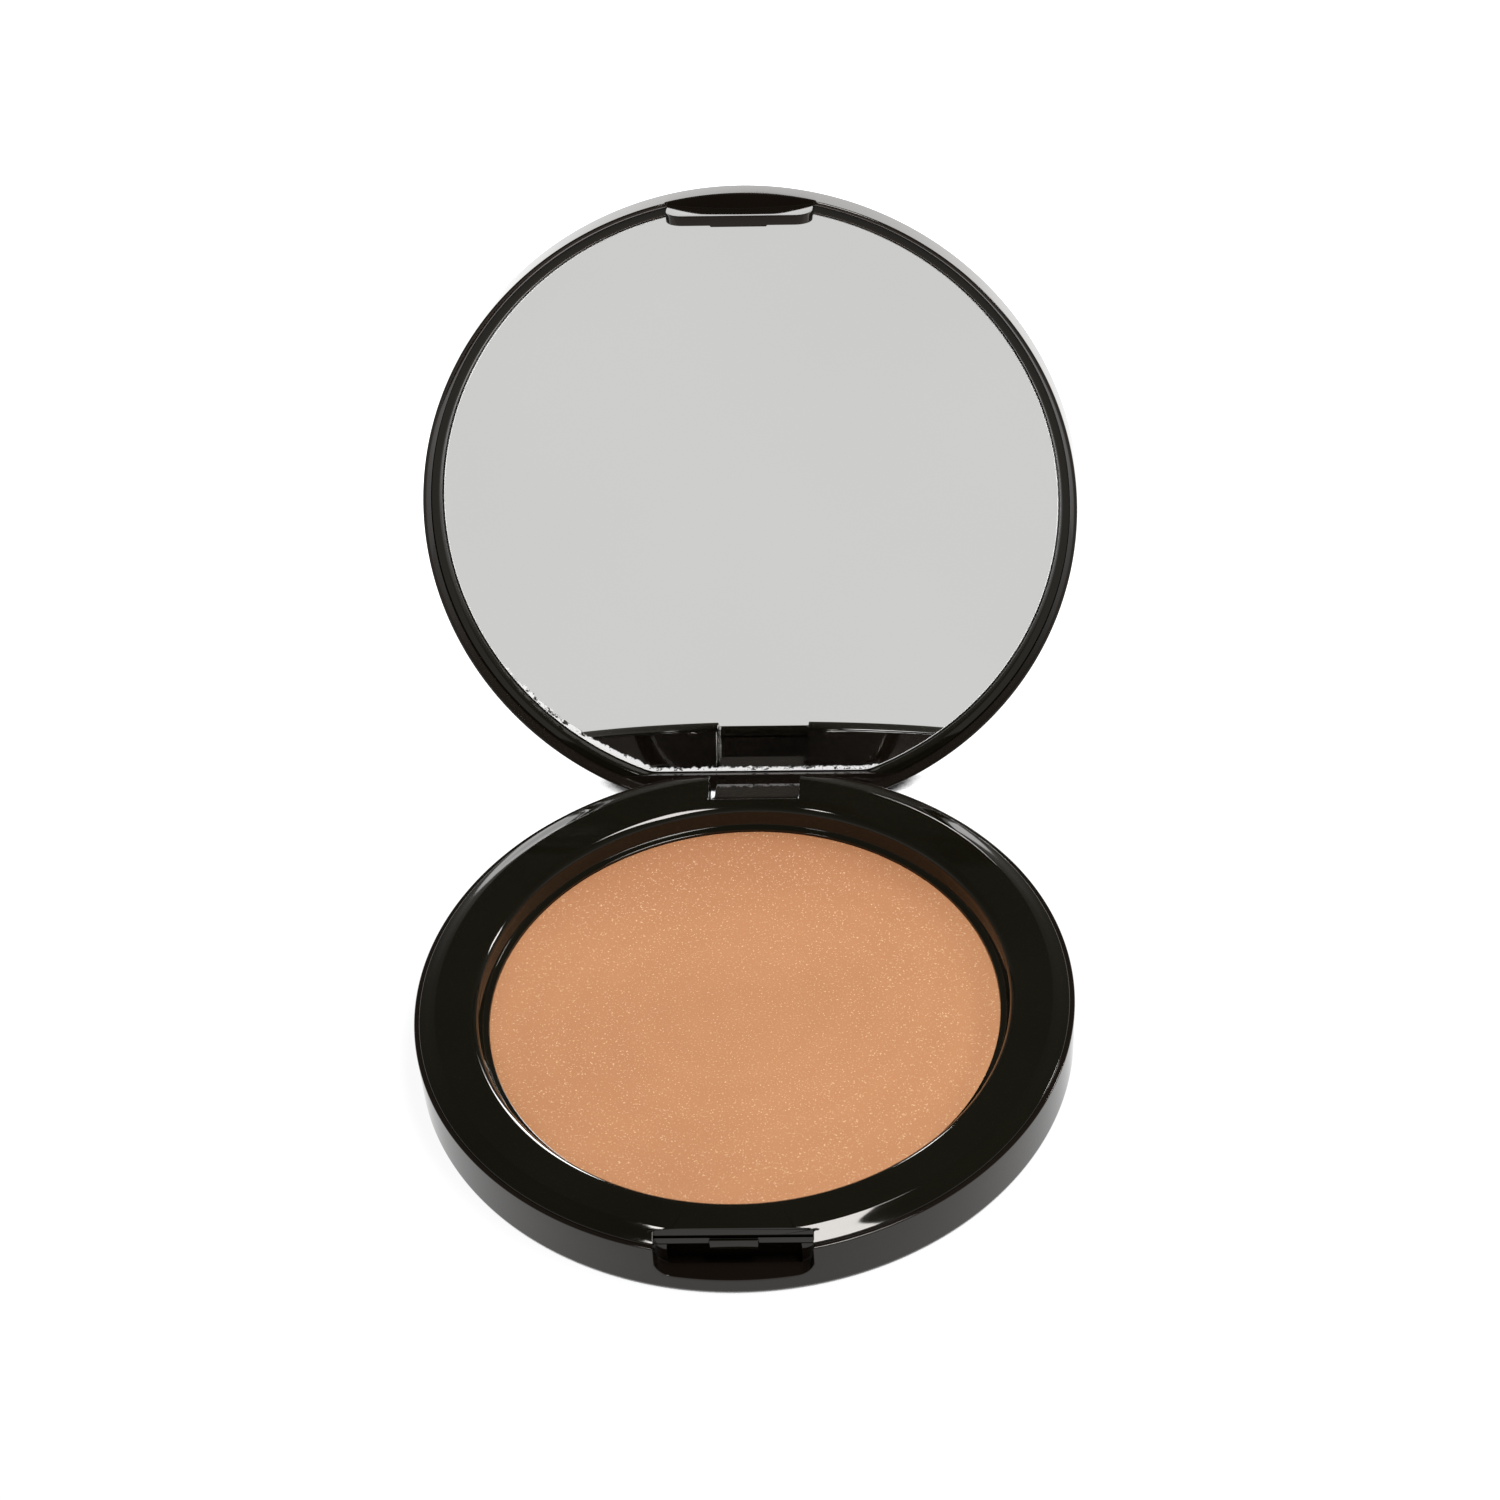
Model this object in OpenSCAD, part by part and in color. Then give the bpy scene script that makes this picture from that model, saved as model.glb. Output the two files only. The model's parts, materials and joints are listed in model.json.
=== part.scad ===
// Round powder compact: a base with a pan of pressed powder, and a mirrored lid on a rear hinge.
// The base stands on z = 0, the latch faces -Y and the hinge is at +Y.
// The lid is laid out closed and then swung open to its stop.

/* [Case] */
// Radius of the base and the lid where they meet
case_r = 38.1; // [37.5:0.1:40]
// Height of the ledge that the lid closes down to
ledge_z = 7; // [7:0.1:8]
// How far the base wall leans in from the ledge to the foot
draft = 0.4; // [0.2:0.1:0.6]
// Thickness of the base wall
base_wall = 1.6; // [1.4:0.1:1.7]
// Thickness of the base floor
floor_t = 1.2; // [1:0.1:1.3]
// Where the flat at the back of the base lies
back_flat_y = 37.1; // [36.9:0.1:37.4]

/* [Frame around the powder] */
// Outer radius of the frame, which leaves a narrow ledge outside it
frame_r = 37.55; // [37.4:0.05:37.6]
// Outer radius of the frame's flat top
land_r = 35.55; // [35:0.05:36]
// Height of the frame's flat top above the ledge
land_rise = 1.3; // [1:0.1:1.4]
// Inner radius of the frame's flat top
well_r = 31.75; // [31.4:0.05:32]
// Radius of the round opening over the powder
opening_r = 29.5; // [29:0.1:29.6]

/* [Powder] */
// Outer radius of the metal pan
pan_r = 30; // [29.9:0.05:30.05]
// Sheet thickness of the pan
pan_t = 0.3; // [0.2:0.05:0.4]
// Height of the powder's surface
powder_z = 5.6; // [5.5:0.05:5.8]
// How much the powder crowns at its middle
powder_crown = 0.15; // [0.05:0.05:0.4]

/* [Hinge] */
// How far the lid opens
open_angle = 117; // [100:1:117]
// Distance of the hinge pin behind the middle of the base
hinge_y = 35.8; // [35.7:0.1:35.9]
// Height of the hinge pin
hinge_z = 2.6; // [2.5:0.1:2.7]
// Diameter of the hinge pin
pin_d = 1.2; // [1:0.1:1.4]
// Length of the hinge pin
pin_l = 20.4; // [18:0.2:20.6]
// Width of the lid's hinge lug
lug_w = 9.9; // [8:0.1:10]
// Width of the notch that the lug swings in
notch_w = 10.6; // [10.4:0.1:11]

/* [Latch] */
// Width of the lid's pull tab
tab_w = 17; // [15:0.5:17]
// How far the tab hangs below the lid's rim
tab_h = 4.1; // [3.8:0.1:4.1]
// Width of the recess for the tab
recess_w = 18.3; // [18.2:0.1:19]
// Height of the recess floor
recess_z = 2.6; // [2.4:0.1:2.7]
// Width of the catch under the frame
catch_w = 5.6; // [4:0.2:8]

/* [Lid and mirror] */
// Height of the lid's upright wall
lid_wall_h = 2.85; // [2.6:0.05:3.2]
// Radius of the lid's rounded top edge
lid_edge_r = 1.8; // [1.6:0.1:1.9]
// How much the lid's top crowns at its middle
lid_crown = 0.8; // [0.4:0.1:1.2]
// Radius of the mirror
mirror_r = 35.8; // [35:0.1:35.8]
// Thickness of the mirror glass
mirror_t = 1.3; // [1:0.1:1.3]
// Where the straight edge of the mirror lies
mirror_flat_y = 33.5; // [32:0.1:33.5]
// How deep the mirror's face lies behind the lid's rim
mirror_depth = 2.45; // [2.3:0.05:2.5]

/* [Hidden] */
$fn = 120;
far = 60;                               // longer than any cut needs

// base
foot_r = 0.7;                           // rounding under the outer wall
shell_in_r = case_r - base_wall;
label_r = 22;
label_t = 0.12;
label_sink = label_t;                   // the label lies flush with the foot
// frame
land_z = ledge_z + land_rise;
riser = 0.2;                            // upright edge of the frame above the ledge
ogee_swell = 0.012;                     // how S-shaped the rise above it is
lip_t = 0.3;                            // thickness of the lip over the pan's rim
lip_w = 0.7;                            // width of its nearly flat top
well_round = 1.15;                      // rounding from the flat top into the well
skirt_r = shell_in_r - 0.1;             // outer face of the ring that plugs into the shell
skirt_t = 1.1;
skirt_z = 4.5;
pan_room_r = pan_r + 0.15;
// pan
pan_z = floor_t + 0.4;                  // on its adhesive pad
pan_top = powder_z - lip_t;
// hinge
knuckle_r = 1.6;
knuckle_step = 0.3;                     // the round part is this much wider than the lug on each side
pin_r = pin_d / 2;
pin_play = 0.04;                        // radial clearance of the lug on the pin
notch_front_y = 32.7;
notch_floor_z = 0.75;
stop_y = hinge_y - 0.05;                // rear edge of the notch floor, where the lug stops
boss_x = 13.2;
boss_z = 5.2;
boss_y = 33.2;
notch_wall_y = 31.9;                    // front of the wall before the notch
notch_chamfer = 0.6;
wall_top_z = ledge_z - 0.1;             // walls inside the base stop just under the frame
// latch
band_y = 34.95;                         // flat front face of the frame in the recess
band_z = 5.7;                           // lower edge of that face
pocket_y = 33.3;                        // back of the pocket below the face
pocket_x = recess_w / 2 - 1.5;
pocket_drop = 0.8;                      // depth of the pocket below the recess floor
plate_t = 1;
plate_x = recess_w / 2 + 0.6;
corner_r = 2;                           // rounded lower corners of the recess and the tab
catch_reach = 0.3;
catch_z = 5;
catch_h = 1.5;
// lid
gap = 0.05;                             // between the closed lid and the ledge
rim_z = ledge_z + gap;
lid_in_r = 37.2;
lid_bulge = 0.15;                       // how far the upright wall leans out
lid_step_z = rim_z + 1.4;               // lid parts over the frame start here
ceiling_z = rim_z + mirror_depth + mirror_t + 0.15;
edge_z = rim_z + lid_wall_h;            // where the rounded top edge starts
shoulder_z = edge_z + lid_edge_r;
rear_relief = 0.3;                      // the rim is this much higher close to the hinge
relief_x = 13.5;
back_gap = 0.3;                         // the open lid's back clears the table by this much
back_reach = hinge_z - back_gap;        // distance of the lid's slanted back from the pin
tab_in_y = 35.6;
tab_out_y = 36.8;
hook_reach = 0.15;
hook_w = 6.5;
scoop_y = 36.2;                         // deepest point of the finger scoop, at its top
scoop_r = 78;
scoop_tilt = 9;
scoop_top_z = rim_z + 0.4;
bezel_r = 36.1;                         // inner radius of the ring around the mirror
mirror_corner_r = 4;
mirror_back_z = rim_z + mirror_depth + mirror_t;

// points on an arc about c, from angle a to angle b
function arc(c, r, a, b, n = 6) = [for (i = [0:n]) let (t = a + (b - a) * i / n) c + r * [cos(t), sin(t)]];

// an S-shaped rise from the frame's upright edge to its flat top
function ogee(n = 8) = [for (i = [0:n]) let (t = i / n)
    [frame_r - (frame_r - land_r) * t, ledge_z + riser + (land_rise - riser) * (t - ogee_swell * sin(360 * t))]];

module lathe(points) rotate_extrude() polygon(points);

// a box given by its lowest and highest corners
module block(low, high) translate(low) cube(high - low);

// a round-cornered plate in X and Z that runs along Y from y0 to y1
module rounded_slot(width, z0, z1, y0, y1) {
    translate([0, y1, 0]) rotate([90, 0, 0]) linear_extrude(y1 - y0) {
        translate([-width / 2, z0 + corner_r]) square([width, z1 - z0 - corner_r]);
        translate([-width / 2 + corner_r, z0]) square([width - 2 * corner_r, corner_r + 0.01]);
        for (s = [-1, 1]) translate([s * (width / 2 - corner_r), z0 + corner_r]) circle(corner_r);
    }
}

module along_pin(r, l) translate([-l / 2, hinge_y, hinge_z]) rotate([0, 90, 0]) cylinder(r = r, h = l);

// everything behind the slanted back of the lid, which lies level with the table when it is open
module behind_lid() {
    translate([0, hinge_y, hinge_z]) rotate([open_angle, 0, 0])
        translate([-far / 2, -far, -far - back_reach]) cube([far, 2 * far, far]);
}

// swings the lid's parts from closed to open
module opened() {
    translate([0, hinge_y, hinge_z]) rotate([-open_angle, 0, 0]) translate([0, -hinge_y, -hinge_z]) children();
}

module shell_outside(r_less = 0) {
    lathe(concat([[0, 0]],
        arc([case_r - draft - foot_r - r_less, foot_r], foot_r, -90, 0),
        [[case_r - r_less, ledge_z - 0.15], [case_r - 0.15 - r_less, ledge_z], [0, ledge_z]]));
}

module base_shell() color([0.09, 0.08, 0.07]) difference() {
    union() {
        difference() {
            shell_outside();
            translate([0, 0, floor_t]) cylinder(r = shell_in_r, h = far);
        }
        intersection() {
            shell_outside(0.5);
            union() {
                // block under the latch recess, with the back wall of its pocket
                block([-recess_w / 2 - 1.2, -far, 0.1], [recess_w / 2 + 1.2, -pocket_y + 0.9, wall_top_z]);
                // blocks that hold the pin, and the wall in front of the notch
                block([-boss_x, boss_y, 0.1], [boss_x, far, boss_z]);
                block([-notch_w / 2 - 1, notch_wall_y, 0.1], [notch_w / 2 + 1, boss_y + 0.1, wall_top_z]);
            }
        }
    }
    // flat back
    block([-far, back_flat_y, -1], [far, far, far]);
    // latch recess, the pocket behind its front face, and room for the frame's plate
    rounded_slot(recess_w, recess_z, far, -far, -band_y);
    block([-pocket_x, -band_y - 0.1, recess_z - pocket_drop], [pocket_x, -pocket_y, far]);
    block([-plate_x - 0.1, -band_y - 0.1, band_z - 0.05], [plate_x + 0.1, -pocket_y, far]);
    // hinge notch, its open back and the pin's bore
    block([-notch_w / 2, notch_front_y, notch_floor_z], [notch_w / 2, far, far]);
    block([-notch_w / 2, stop_y, -1], [notch_w / 2, far, far]);
    along_pin(pin_r, far);
    // shallow recess for the label
    translate([0, 0, -1]) cylinder(r = label_r + 0.3, h = 1 + label_sink);
}

// the frame's top, with the wall round the pan and the ring that plugs into the shell
module frame_ring() {
    lathe(concat([[frame_r, ledge_z]], ogee(),
        arc([well_r, land_z - well_round], well_round, 90, 178),
        [[opening_r + lip_w, powder_z + 0.2], [opening_r, powder_z + 0.1],
         [opening_r, pan_top + 0.02], [pan_room_r, pan_top + 0.02],
         [pan_room_r, floor_t + 0.02], [pan_room_r + 1.1, floor_t + 0.02],
         [pan_room_r + 1.1, ledge_z - 0.6], [pan_room_r + 1.7, ledge_z],
         [skirt_r - skirt_t, ledge_z], [skirt_r - skirt_t, skirt_z],
         [skirt_r, skirt_z], [skirt_r, ledge_z]]));
}

module inner_frame() color([0.07, 0.07, 0.06]) {
    difference() {
        frame_ring();
        // room for the tab, and for the latch block and the hinge blocks under the frame
        block([-recess_w / 2, -far, -1], [recess_w / 2, -band_y, far]);
        block([-plate_x - 0.8, -far, -1], [plate_x + 0.8, -pocket_y + 1, ledge_z]);
        block([-boss_x - 0.3, boss_y - 0.8, -1], [boss_x + 0.3, far, ledge_z]);
        // hinge notch with a chamfered front edge, and the flat back
        translate([-notch_w / 2, 0, 0]) rotate([90, 0, 90]) linear_extrude(notch_w)
            polygon([[notch_front_y, -1], [far, -1], [far, land_z + 1],
                [notch_front_y - notch_chamfer - 1, land_z + 1], [notch_front_y, land_z - notch_chamfer]]);
        block([-far, back_flat_y - case_r + frame_r, -1], [far, far, far]);
    }
    // flat plate behind the tab, and the catch that hangs from it
    block([-plate_x, -band_y, band_z], [plate_x, -band_y + plate_t, land_z - 0.3]);
    block([-catch_w / 2, -band_y - catch_reach, catch_z], [catch_w / 2, -band_y + plate_t / 2, catch_z + catch_h]);
}

module powder_pan() color([0.75, 0.75, 0.76]) difference() {
    translate([0, 0, pan_z]) cylinder(r = pan_r, h = pan_top - pan_z);
    translate([0, 0, pan_z + pan_t]) cylinder(r = pan_r - pan_t, h = far);
}

module powder_cake() color([0.83, 0.59, 0.42]) {
    cake_r = pan_r - pan_t;
    top_r = opening_r - 0.05;
    crown_r = top_r - 0.15;
    lathe(concat([[0, pan_z + pan_t], [cake_r, pan_z + pan_t], [cake_r, pan_top - 0.02],
        [top_r, pan_top - 0.02], [top_r, powder_z - 0.1]],
        [for (i = [0:6]) let (r = crown_r * (1 - i / 6))
            [r, powder_z + powder_crown * (1 - (r / crown_r) * (r / crown_r))]]));
}

module pan_adhesive() color([0.9, 0.88, 0.82])
    translate([0, 0, floor_t]) cylinder(r = 24, h = pan_z - floor_t);

module underside_label() color([0.8, 0.8, 0.78])
    translate([0, 0, label_sink - label_t]) cylinder(r = label_r, h = label_t);

module hinge_pin() color([0.7, 0.7, 0.72]) along_pin(pin_r, pin_l);

module lid_outside() {
    crown_r = case_r + lid_bulge - lid_edge_r;
    lathe(concat([[0, rim_z], [case_r, rim_z]],
        arc([crown_r, edge_z], lid_edge_r, 0, 88),
        [for (i = [0:8]) let (r = crown_r * (1 - i / 8))
            [r, shoulder_z + lid_crown * (1 - (r / crown_r) * (r / crown_r))]]));
}

module pull_tab() {
    intersection() {
        rounded_slot(tab_w, rim_z - tab_h, lid_step_z, -far, -tab_in_y);
        cylinder(r = case_r, h = far);
    }
    // hook that snaps under the catch
    block([-hook_w / 2, -tab_in_y - 0.3, rim_z - tab_h], [hook_w / 2, -tab_in_y + hook_reach, rim_z - tab_h + 0.8]);
}

// hollow for a fingertip in front of the tab, deepest at the rim
module finger_scoop() intersection() {
    block([-tab_w / 2 - 0.2, -far, -1], [tab_w / 2 + 0.2, 0, scoop_top_z]);
    union() {
        block([-far, -far, -far], [far, -tab_out_y, far]);
        translate([0, -scoop_y, scoop_top_z]) rotate([-scoop_tilt, 0, 0])
            translate([0, -scoop_r, -far]) cylinder(r = scoop_r, h = 2 * far);
    }
}

module hinge_lug() {
    along_pin(knuckle_r, lug_w + 2 * knuckle_step);
    block([-lug_w / 2, hinge_y - knuckle_r, hinge_z], [lug_w / 2, hinge_y + knuckle_r, lid_step_z + 0.6]);
}

module lid_shell() color([0.09, 0.08, 0.07]) opened() difference() {
    union() {
        difference() {
            lid_outside();
            // room for the frame, and the space for the mirror in front of the straight back wall
            translate([0, 0, -1]) cylinder(r = lid_in_r, h = lid_step_z + 1);
            intersection() {
                cylinder(r = lid_in_r, h = ceiling_z);
                block([-far, -far, -1], [far, mirror_flat_y + 0.1, far]);
            }
            // chamfer inside the rim
            lathe([[36, rim_z - 0.1], [case_r - 0.35, rim_z - 0.1], [case_r - 0.35, rim_z],
                [lid_in_r - 0.05, rim_z + 0.85], [36, rim_z + 0.85]]);
            block([-relief_x, 30, -1], [relief_x, far, rim_z + rear_relief]);
        }
        pull_tab();
        hinge_lug();
    }
    finger_scoop();
    behind_lid();
    along_pin(pin_r + pin_play, far);
}

module mirror_frame() color([0.07, 0.06, 0.05]) opened() difference() {
    lathe([[bezel_r + 0.1, lid_step_z + 0.05], [lid_in_r - 0.03, lid_step_z + 0.05],
        [lid_in_r - 0.03, ceiling_z - 0.01], [mirror_r + 0.06, ceiling_z - 0.01],
        [mirror_r + 0.06, rim_z + mirror_depth]]);
    block([-far, mirror_flat_y + 0.08, -1], [far, far, far]);
}

module mirror_outline() {
    // the straight edge meets the round one in small round corners
    y = mirror_flat_y - mirror_corner_r;
    x = sqrt(pow(mirror_r - mirror_corner_r, 2) - y * y);
    intersection() {
        circle(mirror_r);
        translate([-far, -2 * far]) square([2 * far, 2 * far + mirror_r * y / (mirror_r - mirror_corner_r)]);
    }
    translate([-x, 0]) square([2 * x, mirror_flat_y]);
    for (s = [-1, 1]) translate([s * x, y]) circle(mirror_corner_r);
}

module mirror_glass() color([0.8, 0.8, 0.8]) opened()
    translate([0, 0, rim_z + mirror_depth]) linear_extrude(mirror_t) mirror_outline();

module mirror_adhesive() color([0.9, 0.88, 0.82]) opened()
    translate([0, 0, mirror_back_z]) cylinder(r = 28, h = ceiling_z - mirror_back_z - 0.01);

base_shell();
inner_frame();
powder_pan();
powder_cake();
pan_adhesive();
underside_label();
hinge_pin();
lid_shell();
mirror_frame();
mirror_glass();
mirror_adhesive();
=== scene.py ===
import json
from math import atan2, cos, degrees, exp, log, pi, radians, sin, sqrt

import bmesh
import bpy
from mathutils import Matrix, Vector


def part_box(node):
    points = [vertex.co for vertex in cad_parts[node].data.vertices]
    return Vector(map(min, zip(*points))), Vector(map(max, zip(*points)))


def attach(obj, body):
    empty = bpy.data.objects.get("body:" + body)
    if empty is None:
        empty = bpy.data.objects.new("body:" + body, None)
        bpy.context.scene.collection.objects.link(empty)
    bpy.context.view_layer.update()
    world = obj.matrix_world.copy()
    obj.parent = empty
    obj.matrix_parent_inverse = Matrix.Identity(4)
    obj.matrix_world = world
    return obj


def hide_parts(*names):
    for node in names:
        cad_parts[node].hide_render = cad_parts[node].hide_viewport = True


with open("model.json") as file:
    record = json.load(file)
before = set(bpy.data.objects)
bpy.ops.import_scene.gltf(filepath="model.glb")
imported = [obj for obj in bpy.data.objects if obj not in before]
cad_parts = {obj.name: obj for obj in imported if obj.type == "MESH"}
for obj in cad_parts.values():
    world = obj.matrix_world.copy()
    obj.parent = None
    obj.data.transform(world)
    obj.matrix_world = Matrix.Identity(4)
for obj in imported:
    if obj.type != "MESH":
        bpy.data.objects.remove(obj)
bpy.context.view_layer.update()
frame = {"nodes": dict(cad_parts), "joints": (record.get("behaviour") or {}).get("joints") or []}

MM = 0.001
STEPS = 240                      # segments round a turned piece
CASE_STEPS = 320                 # segments round the two outer shells
FAR = 60.0                       # longer than any cut needs


def far_corner(node):
    """The corner of a CAD node's box with the largest X, Y and Z, in millimetres."""
    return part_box(node)[1] / MM


# ---------------------------------------------------------------- sizes, in millimetres

base_high = far_corner("base_shell")
frame_high = far_corner("inner_frame")
HINGE = next(j for j in frame["joints"] if j["name"] == "lid_hinge")
HINGE_POINT = Vector(HINGE["pos_m"]) / MM
OPEN_ANGLE = radians(HINGE["range_deg"][1])

CASE_R = base_high.x
LEDGE_Z = base_high.z
BACK_Y = base_high.y
FRAME_R = frame_high.x
LAND_Z = frame_high.z
POWDER_Z = far_corner("powder_cake").z
FLOOR_T = 1.2                    # floor of the base
WALL_R = CASE_R - 1.6            # inside of the base's wall
DRAFT = 0.4                      # how far the wall leans in at its foot
FOOT_R = 0.7
EDGE = 0.16                      # rounding of the moulded edges
LABEL_R = 22.3
LABEL_SINK = 0.12
LAND_R = 35.55
RISER = 0.2                      # upright edge of the frame above the ledge
OGEE_SWELL = 0.012               # how S-shaped the rise above it is
WELL_R = 31.75
WELL_ROUND = 1.15
OPENING_R = 29.5
LIP_Z = 5.32                     # underside of the lip over the pan
PAN_ROOM_R = 30.15
SLEEVE_R = 31.25                 # outside of the sleeve round the pan
SLEEVE_Z = 1.22
SKIRT_R = 36.4                   # outside of the ring that plugs into the base
SKIRT_IN_R = 35.3
SKIRT_Z = 4.5
POWDER_R = 29.7
POWDER_LOW_Z = 1.9
POWDER_CROWN = 0.15
RECESS_X = 9.15                  # half of the latch recess
RECESS_Z = 2.6
BAND_Y = 34.95                   # flat face behind the tab
BAND_Z = 5.7
POCKET_Y = 33.3
POCKET_X = 7.65
POCKET_Z = 1.8
CATCH_X = 2.8
CATCH_Z = 5.0
CATCH_H = 1.5
CATCH_REACH = 0.3
PLATE_T = 1.0
NOTCH_X = 5.3
NOTCH_Y = 32.7
NOTCH_Z = 0.75
NOTCH_WALL_Y = 31.9
BOSS_X = 13.2
BOSS_Y = 33.2
BOSS_Z = 5.2
PIN_R = 0.6
CORNER_R = 2.0
PART_ROUND = 0.12                # rounding of the edges that cuts leave in the two shells
RIM_Z = LEDGE_Z + 0.05           # rim of the closed lid
LID_IN_R = 37.2
LID_STEP_Z = RIM_Z + 1.4
LID_WALL_Z = RIM_Z + 2.85
LID_EDGE_R = 1.8
LID_CROWN = 0.8
LID_BULGE = 0.15                 # how far the upright wall leans out
MIRROR_R = 35.8
MIRROR_Y = 33.5                  # straight edge of the mirror
MIRROR_CORNER = 4.0
BARE_EDGE = 1.1                  # wear of the glass's own edge, past the most worn silver
MIRROR_Z = RIM_Z + 2.45
MIRROR_T = 1.3
CEILING_Z = MIRROR_Z + MIRROR_T + 0.15
BEZEL_R = 36.1
TAB_X = 8.5
TAB_H = 4.1
TAB_Y = 35.6
TAB_OUT_Y = 36.8
SCOOP_R = 78.0
SCOOP_Y = 36.2                   # deepest point of the finger scoop, at its top
SCOOP_TILT = 9.0
SCOOP_Z = RIM_Z + 0.4
HOOK_X = 3.25
HOOK_H = 0.8
HOOK_REACH = 0.15
LUG_X = 4.95
KNUCKLE_X = 5.25
KNUCKLE_R = 1.6
BARREL_R = KNUCKLE_R - 0.18      # the ends of the lug, a little thinner than its middle
LUG_BORE_R = 0.64
BACK_REACH = 2.3                 # from the pin to the lid's slanted back
RELIEF_X = 13.5                  # half of the relief in the lid's rim over the hinge


# ---------------------------------------------------------------- mesh building

def link(name, mesh):
    thing = bpy.data.objects.new(name, mesh)
    bpy.context.scene.collection.objects.link(thing)
    return thing


def arc(cx, cz, r, start, end, n=6):
    """Points round a centre from one angle to another, in degrees."""
    angles = [radians(start + (end - start) * i / n) for i in range(n + 1)]
    return [(cx + r * cos(a), cz + r * sin(a)) for a in angles]


def lathe(name, profile, steps=STEPS):
    """A closed profile of (radius, height) turned about Z. A point on the axis becomes a pole."""
    bm = bmesh.new()
    rings = []
    for r, z in profile:
        if r < 1e-6:
            rings.append([bm.verts.new((0, 0, z))] * steps)
            continue
        turn = [2 * pi * (i + 0.5) / steps for i in range(steps)]
        rings.append([bm.verts.new((r * sin(a), -r * cos(a), z)) for a in turn])
    for one, two in zip(rings, rings[1:] + rings[:1]):
        for i in range(steps):
            j = (i + 1) % steps
            corners = list(dict.fromkeys([one[i], one[j], two[j], two[i]]))
            if len(corners) > 2:
                bm.faces.new(corners)
    return finish_mesh(name, bm)


def prism(name, outline, axis, start, end):
    """An outline swept straight along an axis. Its numbers lie along the other two axes, in order."""
    bm = bmesh.new()
    ends = []
    for depth in (start, end):
        ring = []
        for a, b in outline:
            point = [a, b]
            point.insert(axis, depth)
            ring.append(bm.verts.new(point))
        ends.append(ring)
    bm.faces.new(ends[0])
    bm.faces.new(ends[1])
    count = len(outline)
    for i in range(count):
        j = (i + 1) % count
        bm.faces.new([ends[0][i], ends[0][j], ends[1][j], ends[1][i]])
    return finish_mesh(name, bm)


def block(low, high):
    corners = [(low[0], low[1]), (high[0], low[1]), (high[0], high[1]), (low[0], high[1])]
    return prism("cutter", corners, 2, low[2], high[2])


def slot_outline(half, z0, z1, r):
    """A plate in X and Z with round lower corners."""
    left = arc(-half + r, z0 + r, r, 180, 270, 8)
    right = arc(half - r, z0 + r, r, 270, 360, 8)
    return left + right + [(half, z1), (-half, z1)]


def finish_mesh(name, bm):
    bmesh.ops.recalc_face_normals(bm, faces=bm.faces[:])
    mesh = bpy.data.meshes.new(name)
    bm.to_mesh(mesh)
    bm.free()
    return link(name, mesh)


def apply_modifiers(thing):
    graph = bpy.context.evaluated_depsgraph_get()
    shaped = thing.evaluated_get(graph)
    mesh = bpy.data.meshes.new_from_object(shaped, preserve_all_data_layers=True, depsgraph=graph)
    thing.modifiers.clear()
    thing.data = mesh


def combine(thing, other, operation):
    """Joins, cuts or intersects a mesh with another one, which is used up."""
    modifier = thing.modifiers.new("combine", "BOOLEAN")
    modifier.operation = operation
    modifier.solver = "EXACT"
    modifier.object = other
    apply_modifiers(thing)
    bpy.data.objects.remove(other)
    return thing


def cut(thing, *cutters):
    for cutter in cutters:
        combine(thing, cutter, "DIFFERENCE")
    return thing


def join(thing, *others):
    for other in others:
        combine(thing, other, "UNION")
    return thing


def common(thing, other):
    return combine(thing, other, "INTERSECT")


def soften(thing, width):
    """Rounds the sharp edges that the cuts left, and shades the rest smoothly."""
    bm = bmesh.new()
    bm.from_mesh(thing.data)
    bmesh.ops.remove_doubles(bm, verts=bm.verts[:], dist=0.004)
    bmesh.ops.dissolve_degenerate(bm, edges=bm.edges[:], dist=0.004)
    bm.to_mesh(thing.data)
    bm.free()
    modifier = thing.modifiers.new("round", "BEVEL")
    modifier.width = width
    modifier.segments = 2
    modifier.limit_method = "ANGLE"
    modifier.angle_limit = radians(40)
    modifier.use_clamp_overlap = False
    modifier.miter_outer = "MITER_ARC"
    apply_modifiers(thing)
    drop_loose_edges(thing)
    smooth(thing)


def drop_loose_edges(thing):
    """Removes the edges and points that belong to no face."""
    bm = bmesh.new()
    bm.from_mesh(thing.data)
    bmesh.ops.delete(bm, geom=[e for e in bm.edges if not e.link_faces], context="EDGES")
    bmesh.ops.delete(bm, geom=[v for v in bm.verts if not v.link_faces], context="VERTS")
    bm.to_mesh(thing.data)
    bm.free()


def smooth(thing, angle=35):
    """Shades smoothly, except along edges sharper than an angle."""
    for face in thing.data.polygons:
        face.use_smooth = True
    thing.data.set_sharp_from_angle(angle=radians(angle))
    modifier = thing.modifiers.new("normals", "WEIGHTED_NORMAL")
    modifier.keep_sharp = True
    apply_modifiers(thing)


def place(thing, body, node, material, opened=False):
    """Scales a piece to metres, swings a lid piece open, and puts it in the frame."""
    matrix = Matrix.Scale(MM, 4)
    if opened:
        matrix = matrix @ OPENED
    thing.data.transform(matrix)
    thing.data.update()
    thing.data.materials.clear()
    thing.data.materials.append(material)
    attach(thing, body)
    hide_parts(node)


OPENED = (Matrix.Translation(HINGE_POINT) @ Matrix.Rotation(-OPEN_ANGLE, 4, "X")
          @ Matrix.Translation(-HINGE_POINT))


# ---------------------------------------------------------------- shapes

def pin_cylinder(r, half):
    """A cylinder round the hinge's axis, reaching half its length to each side."""
    outline = arc(HINGE_POINT.y, HINGE_POINT.z, r, 0, 350, 35)
    return prism("pin", outline, 0, -half, half)


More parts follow.
